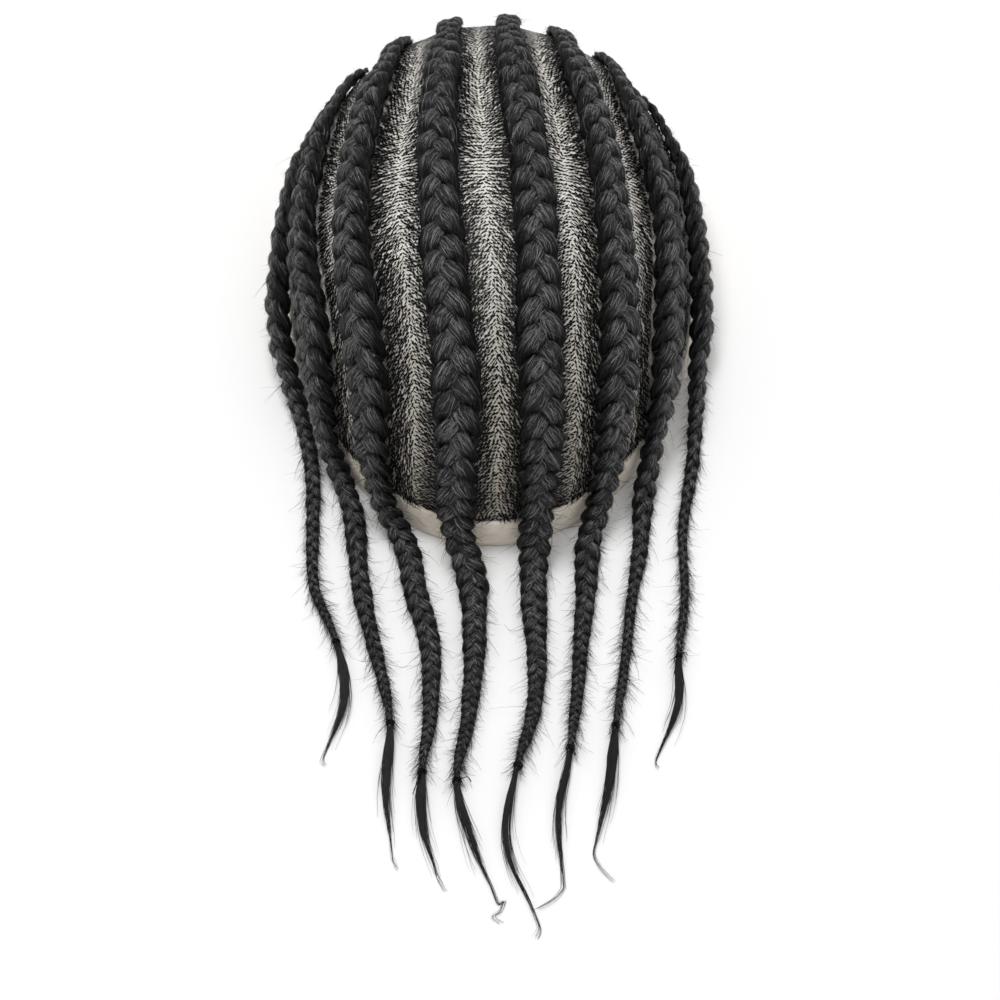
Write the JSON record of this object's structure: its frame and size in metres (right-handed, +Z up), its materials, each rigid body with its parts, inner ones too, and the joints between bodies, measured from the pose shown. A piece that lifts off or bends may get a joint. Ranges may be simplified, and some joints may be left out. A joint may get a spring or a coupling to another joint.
{
  "type": "braided lace toupee",
  "caption": "Lying hair piece: an open domed lace base with a bare edge strip, raised cornrows over the crown and free plaits tied near their ends with dark thread.",
  "frame": {"origin": "bottom centre of the whole piece's box, on the surface that it lies on", "axes": "+Z up, +Y towards the hairline where the cornrows begin, -Y towards the loose tails, +X to the right of the piece as seen from the tails"},
  "size_m": [0.1444, 0.3088, 0.0775],
  "materials": {
    "lace": "silver-beige lace mesh with dark knots",
    "edge_film": "thin translucent tan film",
    "hair": "off-black kinky hair with a soft satin shine",
    "thread": "matt black thread"
  },
  "bodies": {
    "root": {"lace_base": "lace", "edge_strip": "edge_film", "braid_1": "hair", "braid_2": "hair", "braid_3": "hair", "braid_4": "hair", "braid_5": "hair", "braid_6": "hair", "braid_7": "hair", "braid_8": "hair", "tie_1": "thread", "tie_2": "thread", "tie_3": "thread", "tie_4": "thread", "tie_5": "thread", "tie_6": "thread", "tie_7": "thread", "tie_8": "thread"}
  },
  "joints": []
}
